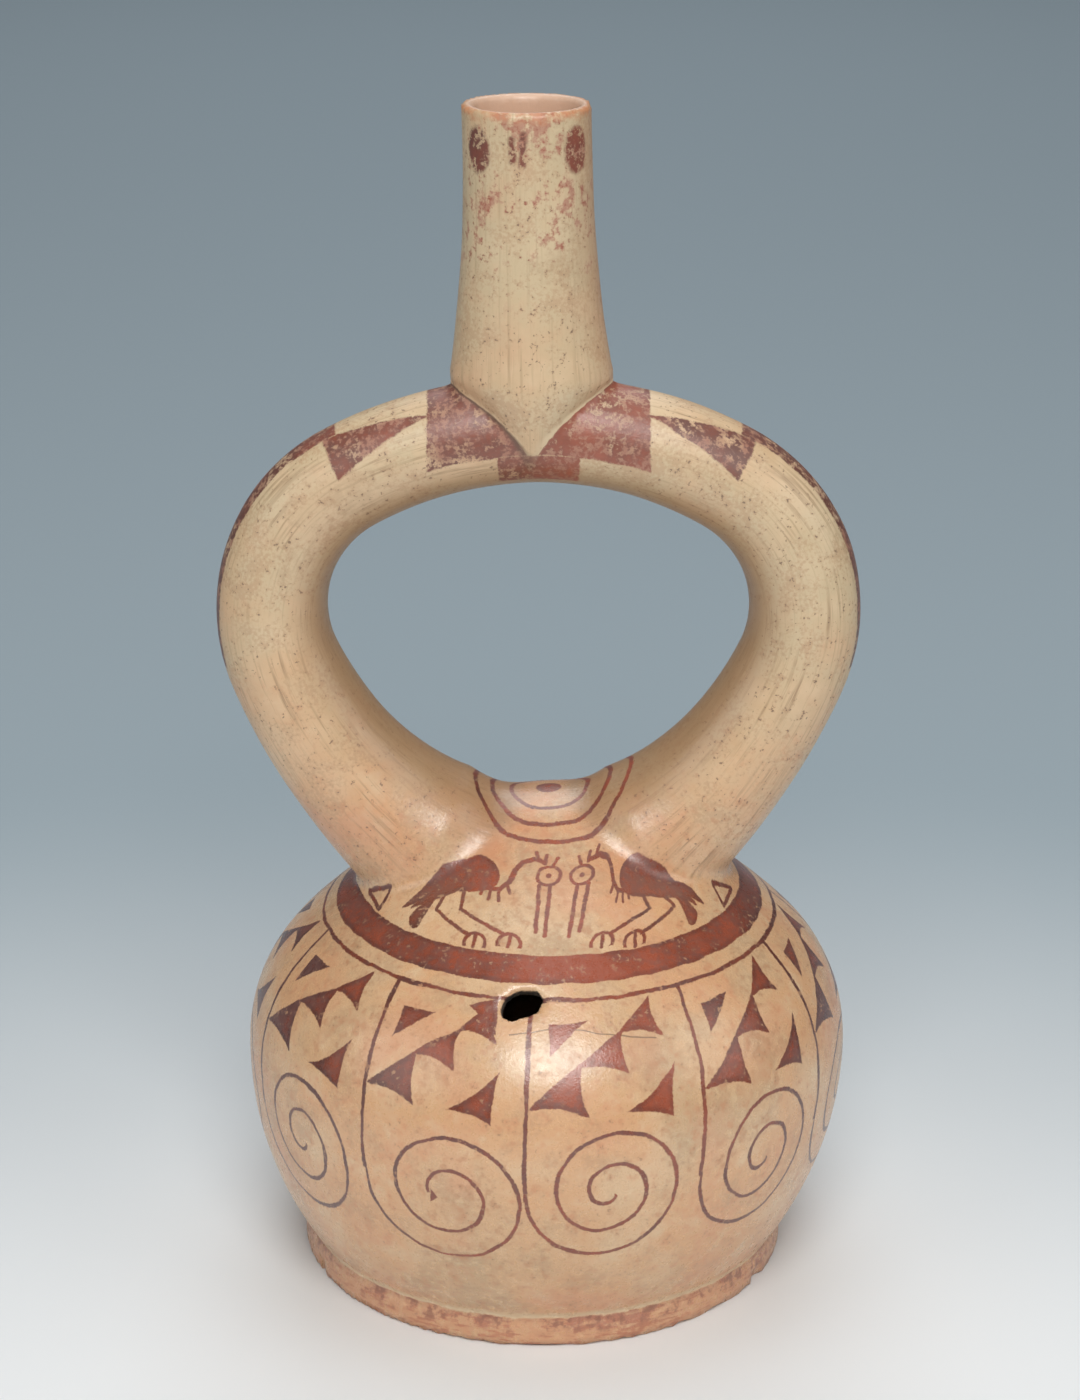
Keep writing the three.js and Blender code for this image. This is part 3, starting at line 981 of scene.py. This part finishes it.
def body_paint(sheet, place, marks):
    """Distance to the slip on the body, and to the crack beside the hole."""
    x, y, z = place
    body_x = across_body(x, z)
    depth = sheet.math("ABSOLUTE", y)
    reach = sheet.reach(body_x, y)
    wall = sheet.math("ARCTAN2", z - BELLY_HEIGHT, reach) * WALL_SCALE
    height = wall + marks["wander up"]
    turn = sheet.math("ARCTAN2", body_x, -y)
    facing = sheet.ramp(-y / reach, *FRONT_PANELS)
    taper = 1.0 - (height - TAPER_MIDDLE) * facing * PANEL_TAPER
    spots = [(degree / 360 + 0.5, (panel - PANEL_LOW) / PANEL_SPAN) for degree, panel in PANEL_EDGES]
    panel = curve(sheet, turn * taper * (0.5 / math.pi) + 0.5, spots) * PANEL_SPAN + PANEL_LOW
    share = sheet.math("FRACT", panel)
    flat = sheet.math("COMPARE", sheet.math("FLOOR", panel), FLAT_PANEL, 0.5)
    panel_width = reach * (math.tau / PANEL_COUNT)
    across = (share - 0.5) * panel_width + marks["wander"]
    ink = frieze(sheet, sheet.join(across, height), panel_width, marks["width"], flat)
    ink = sheet.math("MAXIMUM", ink, height - THIN_LINE)
    ink = sheet.least(ink, sheet.math("ABSOLUTE", height - THIN_LINE) - marks["width"])
    band = sheet.math("ABSOLUTE", height - BAND_MIDDLE) - BAND_HALF
    ink = sheet.least(ink, band + marks["on stirrup"] * BAND_FADE)

    near_front = sheet.ramp(y, 2.0, -2.0)
    along = sheet.math("ARCTAN2", body_x, depth) * reach + marks["wander"] * 0.7
    ink = sheet.least(ink, wading_birds(sheet, along, height, near_front))
    plan = sheet.join(body_x + marks["wander"], depth + marks["wander up"])
    spot = sheet.join(body_x, y)
    dome = dot(sheet, spot, DOME_DOT, DOME_DOT_RADIUS)
    for middle, radius in DOME_RINGS:
        dome = sheet.least(dome, ring(sheet, plan, (middle, 0.0), radius, LINE_HALF))
    dome = sheet.math("MAXIMUM", dome, DOME_FOOT - z)
    ink = sheet.least(ink, dome) + sheet.ramp(z, *BODY_PAINT_TOP) * 99.0
    crack = stroke(sheet, sheet.join(turn * reach, height), CRACK, CRACK_HALF)
    return ink, crack


def stirrup_paint(sheet, place, marks):
    """Distance to the slip on the stirrup: collar patches, the patch under the arch, fans and ridges."""
    x, y, z = place
    along = marks["along"]
    depth = sheet.math("ABSOLUTE", y)
    around = sheet.math("ARCTAN2", depth, marks["outward"]) * STIRRUP_RADIUS
    far = sheet.math("ABSOLUTE", x)
    ink = sheet.most(far - COLLAR_REACH + marks["wander"], around - COLLAR_DROP + marks["wander up"],
                     marks["on spout"] * OUT_OF_SIGHT - 3.0)
    under = sheet.most(far - UNDER_REACH + marks["wander"], COLLAR_DROP - around, around - UNDER_DROP)
    ink = sheet.least(ink, under)
    spot = sheet.join(along + marks["wander"], around + marks["wander up"])
    ink = sheet.least(ink, sail(sheet, spot, FAN, STRAIGHT))
    ridge = sheet.most(around - STRIPE_HALF + marks["wander"], STRIPE_START - along, along - STRIPE_END)
    ink = sheet.least(ink, ridge)
    limits = sheet.ramp(z, *HANDLE_PAINT_TOP) + sheet.ramp(z, *HANDLE_PAINT_LOW) + (1.0 - marks["on stirrup"])
    return ink + limits * OUT_OF_SIGHT, around


def spout_paint(sheet, place, marks):
    """Distance to the ovals under the lip, and the turn round the spout."""
    x, y, z = place
    spout_x = across_spout(x, z)
    turn = sheet.math("ARCTAN2", spout_x, sheet.math("ABSOLUTE", y)) * MOUTH_RADIUS
    spot = sheet.join(turn + marks["wander"], z + marks["wander up"])
    ink = None
    for degrees in OVAL_TURNS:
        middle = math.radians(degrees) * MOUTH_RADIUS
        squat = sheet.vector("MULTIPLY", sheet.vector("SUBTRACT", spot, (middle, OVAL_HEIGHT, 0.0)),
                             (1.0, OVAL_SQUASH, 0.0))
        oval = sheet.measure("LENGTH", squat) - OVAL_WIDTH
        ink = oval if ink is None else sheet.least(ink, oval)
    for line in OVAL_STROKES:
        ink = sheet.least(ink, stroke(sheet, spot, line, OVAL_STROKE_HALF))
    return ink, turn


def clay_surface(sheet):
    """What the colouring reads at each place: its zones, textures and distances to the painted marks."""
    point = sheet.vector("SCALE", Term(sheet, sheet.node("ShaderNodeTexCoord").outputs["Object"]))
    point.socket.node.inputs["Scale"].default_value = 1000.0
    clay = SimpleNamespace(point=point)
    for name in KEPT:
        node = sheet.node("ShaderNodeAttribute", attribute_name=kept_name(name))
        setattr(clay, kept_name(name), Term(sheet, node.outputs["Fac"]))
    place = sheet.split(point)
    clay.x, clay.y, clay.z = place
    clay.on_stirrup = sheet.ramp(clay.stirrup_lead, *STIRRUP_EDGE)
    clay.on_spout = sheet.ramp(clay.spout_lead, *SPOUT_EDGE)
    clay.on_handle = sheet.math("MAXIMUM", clay.on_stirrup, clay.on_spout)
    clay.high = sheet.ramp(clay.z - BODY_WARMTH * (1.0 - clay.on_handle), *CREAM_RISE)
    clay.broad = sheet.noise(point, *BROAD_NOISE)
    clay.cloud = sheet.noise(sheet.vector("ADD", point, CLOUD_SHIFT), *CLOUD_NOISE)
    clay.patchy = sheet.noise(point, *PATCHY_NOISE)
    clay.hand = sheet.noise(point, *HAND_NOISE) - 0.5
    clay.hand_up = sheet.noise(sheet.vector("ADD", point, HAND_SHIFT), *HAND_NOISE) - 0.5
    clay.mottle = sheet.noise(point, *MOTTLE_NOISE)
    clay.grain = sheet.noise(point, *GRAIN_NOISE)
    clay.ragged = (clay.grain - 0.5) * RAGGEDNESS
    marks = {
        "wander": clay.hand * WANDER, "wander up": clay.hand_up * WANDER,
        "width": LINE_HALF + (clay.patchy - 0.5) * WIDTH_CHANGE,
        "along": clay.along, "outward": clay.outward,
        "on stirrup": clay.on_stirrup, "on spout": clay.on_spout,
    }
    clay.ink, clay.crack = body_paint(sheet, place, marks)
    clay.handle_ink, clay.around = stirrup_paint(sheet, place, marks)
    clay.mouth_ink, clay.spout_turn = spout_paint(sheet, place, marks)
    leg_way = sheet.join(clay.around * STREAK_ACROSS, clay.along * STREAK_ALONG)
    spout_way = sheet.join(clay.spout_turn * STREAK_ACROSS, clay.z * STREAK_UP, clay.y * STREAK_ALONG)
    foot_way = sheet.vector("MULTIPLY", point, FOOT_STRETCH)
    way = between(sheet, leg_way, spout_way, clay.on_spout)
    way = between(sheet, way, foot_way, sheet.ramp(clay.z, *FOOT_STREAKS))
    clay.streak = sheet.noise(way, *STREAK_NOISE)
    return clay


def clay_ground(sheet, clay):
    """The unpainted ground: cream on stirrup and spout, warmer on the body, clouded and dusty."""
    warm = (clay.broad - 0.5) * 2.0 + (clay.patchy - 0.5) * 1.6 + 0.85 - clay.high * 0.8
    ground = mix(sheet, CREAM, WARM, sheet.clamp(warm, 0.0, 1.0))
    ground = mix(sheet, ground, PALE_AND_HIGHLIGHT, sheet.clamp((clay.patchy - 0.55) * 3.0, 0.0, 0.5))
    blush = sheet.clamp((clay.cloud - 0.5) * 3.0 + (clay.mottle - 0.5) * 0.8, 0.0, 0.45)
    ground = mix(sheet, ground, BLUSH, blush * (1.0 - clay.high * 0.6))
    faded = (0.46 - clay.cloud) * 3.0 + (clay.mottle - 0.5) * 0.6
    ground = mix(sheet, ground, PALE_AND_HIGHLIGHT, sheet.clamp(faded, 0.0, 0.4))
    dusty = ((0.5 - clay.patchy) * 2.6 + (clay.mottle - 0.5) * 1.3
             + (clay.grain - 0.5) * (clay.on_handle + 1.2))
    ground = mix(sheet, ground, DUST, sheet.clamp(dusty, 0.0, 0.45))
    spotted = sheet.clamp((clay.mottle - 0.53) * 2.6, 0.0, 0.4)
    ground = mix(sheet, ground, STAIN, spotted * (1.0 - clay.high))
    dull = (0.44 - clay.broad) * 2.4 + (clay.mottle - 0.5)
    return mix(sheet, ground, BURNISH_AND_SHADE, sheet.clamp(dull, 0.0, 0.18))


def handle_wear_and_shade(sheet, clay, ground):
    """Burnishing streaks and specks of stirrup and spout, the stains of spout and dome, and brown staining
    with painted shade under the arch.
    """
    lines = sheet.clamp((0.49 - clay.streak) * 4.0, 0.0, 0.75) * clay.on_handle
    lines = lines * sheet.clamp(clay.patchy * 4.0 - 1.5, 0.12, 1.0)
    ground = mix(sheet, ground, BURNISH_AND_SHADE, lines * (1.0 - clay.on_spout * 0.45))
    specks = sheet.ramp(clay.grain * 0.7 + clay.mottle * 0.3 + clay.on_handle * 0.015, 0.62, 0.68)
    ground = mix(sheet, ground, SOIL_AND_SHADE, specks * (clay.on_handle * 0.4 + 0.3))
    # Painted shade: the arch's underside is darkened, partly for its brown staining, partly for the shade
    # that falls under the arch
    shade = sheet.ramp(clay.around, *ARCH_UNDERSIDE) * clay.on_handle * (1.0 - clay.on_spout)
    ground = mix(sheet, ground, BURNISH_AND_SHADE, shade * 0.75)
    ground = mix(sheet, ground, STAIN, sheet.ramp(clay.spout_turn, *SPOUT_FLANK) * clay.on_spout * 0.35)
    stain = sheet.ramp(clay.z, *DOME_STAIN_FOOT) * sheet.ramp(clay.z, *DOME_STAIN_TOP)
    stain = stain * sheet.clamp(clay.patchy * 3.0 - 1.1, 0.0, 0.6)
    return mix(sheet, ground, STAIN, stain * (1.0 - clay.on_handle * 0.8))


def foot_wear_and_highlight(sheet, clay, ground):
    """The pale line above the foot, partly cream slip and partly a painted highlight on the ledge's top, and
    the foot's brushed red and scuffs.
    """
    level = clay.z + clay.hand_up * 1.6 + clay.ragged * 2.0
    # Partly painted highlight: the top of the ledge above the foot is lightened, over its cream slip edge
    line = sheet.ramp(level, *FOOT_LINE_LOW) * sheet.ramp(level, *FOOT_LINE_TOP)
    ground = mix(sheet, ground, PALE_AND_HIGHLIGHT, line * 0.8)
    foot = sheet.ramp(level, *FOOT_EDGE)
    ground = mix(sheet, ground, FOOT, foot * sheet.clamp(clay.mottle * 2.0 - 0.2, 0.3, 1.0))
    brushed = sheet.ramp(clay.streak * 0.7 + clay.mottle * 0.3 + (clay.patchy - 0.5) * 0.4, 0.48, 0.58)
    ground = mix(sheet, ground, FOOT_RED, foot * brushed * 0.7)
    scuff = sheet.ramp(clay.mottle * 0.35 + clay.grain * 0.15 + clay.patchy * 0.5, 0.47, 0.57)
    scuff = foot * sheet.ramp(level, *SCUFF_RISE) * scuff
    ground = mix(sheet, ground, WORN_SLIP, scuff * 0.5)
    return mix(sheet, ground, DARK_SLIP, scuff * sheet.ramp(clay.mottle, 0.45, 0.62) * 0.4)


def slip_tone_and_shade(sheet, clay):
    """The slip's colour: red-brown to dark brown, darker at its brim, purple where it is thin; painted shade
    makes it darker and more purple towards the sides.
    """
    # Painted shade: the slip turns darker and more purple away from a middle a little right of the front
    side_shade = sheet.math("ABSOLUTE", clay.x - SLIP_MIDDLE) * 0.011
    tone = ((clay.broad - 0.5) * 1.6 + (clay.patchy - 0.5) * 1.6 + (clay.mottle - 0.5) * 0.8
            + side_shade + 0.02)
    brim = sheet.ramp(clay.ink, *SLIP_BRIM) * 0.3
    slip = mix(sheet, RED_SLIP, DARK_SLIP, sheet.clamp(tone + brim, 0.0, 1.0))
    on_birds = sheet.ramp(clay.z, *BIRD_ZONE) * (1.0 - clay.on_handle)
    purple = (clay.mottle - 0.5) * 1.6 + (clay.broad - 0.5) * 2.0 + side_shade * 0.5 + on_birds * 0.4
    return mix(sheet, slip, PURPLE_SLIP, sheet.clamp(purple, 0.0, 0.7))


def spout_marks(sheet, clay, colour, slip):
    """Pink flecks, the stained lip and the worn ovals of the spout."""
    flecks = sheet.ramp(clay.patchy * 0.5 + clay.mottle * 0.35 + clay.grain * 0.15, 0.52, 0.6)
    flecks = flecks * sheet.ramp(clay.z, *FLECK_RISE) * sheet.ramp(clay.y, *FLECK_FRONT)
    fleck_tone = mix(sheet, PINK_SLIP, RED_SLIP, sheet.ramp(clay.grain, 0.4, 0.8))
    colour = mix(sheet, colour, fleck_tone, flecks * clay.on_spout * 0.9)
    lip = sheet.ramp(clay.z + clay.hand * 4.0 + clay.ragged * 3.0, *LIP_EDGE)
    lip = lip * sheet.clamp(clay.mottle * 3.0 - 1.0, 0.1, 0.8)
    colour = mix(sheet, colour, STAIN, lip * clay.on_spout)
    ovals = sheet.ramp(clay.mouth_ink + clay.ragged * 2.0, *MOUTH_INK)
    ovals = ovals * sheet.ramp(clay.mottle * 0.6 + clay.grain * 0.4, 0.6, 0.5)
    return mix(sheet, colour, mix(sheet, slip, DARK_SLIP, 0.4), ovals * clay.on_spout)


def slip_coat(sheet, clay, colour, slip):
    """The painting on body and stirrup, worn through in places."""
    worn = sheet.ramp(clay.mottle * 0.55 + clay.grain * 0.45, 0.56, 0.64)
    worn = worn * sheet.clamp(clay.patchy * 4.0 - 1.6, 0.1, 0.6)
    colour = mix(sheet, colour, slip, sheet.ramp(clay.ink + clay.ragged, *BODY_INK) * (1.0 - worn))
    rubbed = sheet.ramp(clay.mottle * 0.6 + clay.grain * 0.4, 0.47, 0.6)
    handle_slip = mix(sheet, slip, DARK_SLIP, sheet.ramp(clay.along, *RIDGE_ZONE) * 0.7)
    handle_slip = mix(sheet, handle_slip, WORN_SLIP, 0.1 + rubbed * 0.6)
    bare = rubbed * sheet.clamp(clay.patchy * 4.0 - 1.7, 0.12, 0.75)
    cover = sheet.ramp(clay.handle_ink + clay.ragged * 1.6, *HANDLE_INK) * (1.0 - bare)
    return mix(sheet, colour, handle_slip, cover)


def spout_join_light(sheet, clay, colour):
    """Painted shade in the join under the spout on its left, and a painted highlight on the join's edge on
    its right.
    """
    lead = clay.spout_lead
    under = sheet.ramp(clay.z, *JOIN_TOP)
    crevice_shade = sheet.ramp(lead, *CREVICE_OUT) * sheet.ramp(lead, *CREVICE_IN) * under
    # Painted shade: the crevice of the join on the left is darkened with the dark soil brown
    colour = mix(sheet, colour, SOIL_AND_SHADE, crevice_shade * sheet.ramp(clay.x, *CREVICE_LEFT) * 0.75)
    edge = sheet.ramp(lead, *JOIN_EDGE_OUT) * sheet.ramp(lead, *JOIN_EDGE_IN) * under
    # Painted highlight: the join's edge on the right is lightened with the pale cream
    return mix(sheet, colour, PALE_AND_HIGHLIGHT, edge * sheet.ramp(clay.x, *JOIN_EDGE_RIGHT) * 0.6)


def clay_material():
    """Burnished clay with cream slip and red-brown slip painting."""
    material = bpy.data.materials.new("painted_clay")
    material.use_nodes = True
    tree = material.node_tree
    sheet = Sheet(tree)
    clay = clay_surface(sheet)
    colour = clay_ground(sheet, clay)
    colour = handle_wear_and_shade(sheet, clay, colour)
    colour = foot_wear_and_highlight(sheet, clay, colour)
    colour = mix(sheet, colour, SOIL_AND_SHADE, sheet.ramp(clay.crack, *CRACK_EDGE) * 0.7)
    slip = slip_tone_and_shade(sheet, clay)
    colour = spout_marks(sheet, clay, colour, slip)
    colour = slip_coat(sheet, clay, colour, slip)
    colour = spout_join_light(sheet, clay, colour)
    colour = mix(sheet, colour, BARE_CLAY, sheet.ramp(clay.inside, *INSIDE_EDGE))
    # Painted shade: the hole's broken wall is coloured near black, as the dark inside seen through it
    broken = sheet.ramp(clay.hole + clay.ragged * 0.4, *HOLE_EDGE)
    colour = mix(sheet, colour, HOLE_SHADE_BLACK, broken)

    shader = tree.nodes["Principled BSDF"]
    sheet.plug(shader.inputs["Base Color"], colour)
    roughness = ROUGHNESS + clay.on_handle * clay.high * 0.14 + (clay.mottle - 0.5) * 0.35 + broken
    sheet.plug(shader.inputs["Roughness"], sheet.clamp(roughness, *ROUGHNESS_RANGE))
    shader.inputs["Specular IOR Level"].default_value = SPECULAR_LEVEL
    bump = sheet.node("ShaderNodeBump")
    bump.inputs["Strength"].default_value = GRAIN_STRENGTH
    bump.inputs["Distance"].default_value = GRAIN_DEPTH
    sheet.plug(bump.inputs["Height"], clay.grain * 0.5 + clay.streak * clay.on_handle * 0.5)
    tree.links.new(bump.outputs[0], shader.inputs["Normal"])
    return material


def add_camera():
    """The camera at the photograph's viewing angle."""
    data = bpy.data.cameras.new("camera")
    data.lens = CAMERA_LENS
    data.sensor_width = CAMERA_SENSOR
    camera = bpy.data.objects.new("camera", data)
    camera.location = CAMERA_PLACE
    camera.rotation_euler = (math.pi / 2 - CAMERA_DIP, 0.0, 0.0)
    bpy.context.scene.collection.objects.link(camera)
    bpy.context.scene.camera = camera


def add_floor():
    """A pale floor that turns greyer away from the bottle: partly the backdrop's grey-blue, partly painted
    shade for the soft shadow round the bottle.
    """
    bpy.ops.mesh.primitive_plane_add(size=FLOOR_SIZE)
    floor = bpy.context.object
    floor.name = "floor"
    material = bpy.data.materials.new("floor")
    material.use_nodes = True
    sheet = Sheet(material.node_tree)
    place = Term(sheet, sheet.node("ShaderNodeTexCoord").outputs["Object"])
    away = sheet.ramp(sheet.measure("DISTANCE", place, FLOOR_MIDDLE), *FLOOR_FADE)
    shader = material.node_tree.nodes["Principled BSDF"]
    sheet.plug(shader.inputs["Base Color"], mix(sheet, FLOOR_NEAR, FLOOR_FAR, away))
    shader.inputs["Roughness"].default_value = FLOOR_ROUGHNESS
    shader.inputs["Specular IOR Level"].default_value = FLOOR_SPECULAR
    floor.data.materials.append(material)


def add_light(name, place, aim, size, power, colour):
    """A soft round studio light."""
    data = bpy.data.lights.new(name, "AREA")
    data.shape = "DISK"
    data.size = size
    data.energy = power
    data.color = colour
    light = bpy.data.objects.new(name, data)
    light.location = place
    light.rotation_euler = (Vector(aim) - Vector(place)).to_track_quat("-Z", "Y").to_euler()
    bpy.context.scene.collection.objects.link(light)


def add_world():
    """Faint cool light from all round."""
    world = bpy.data.worlds.new("studio")
    world.use_nodes = True
    sky = world.node_tree.nodes["Background"]
    sky.inputs["Color"].default_value = WORLD_COLOUR
    sky.inputs["Strength"].default_value = WORLD_STRENGTH
    bpy.context.scene.world = world


piece = clay_piece(clay_material())
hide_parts("bottle")
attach(piece, "root")
add_camera()
add_floor()
for light in LIGHTS:
    add_light(*light)
add_world()
bpy.context.scene.view_settings.view_transform = "Standard"
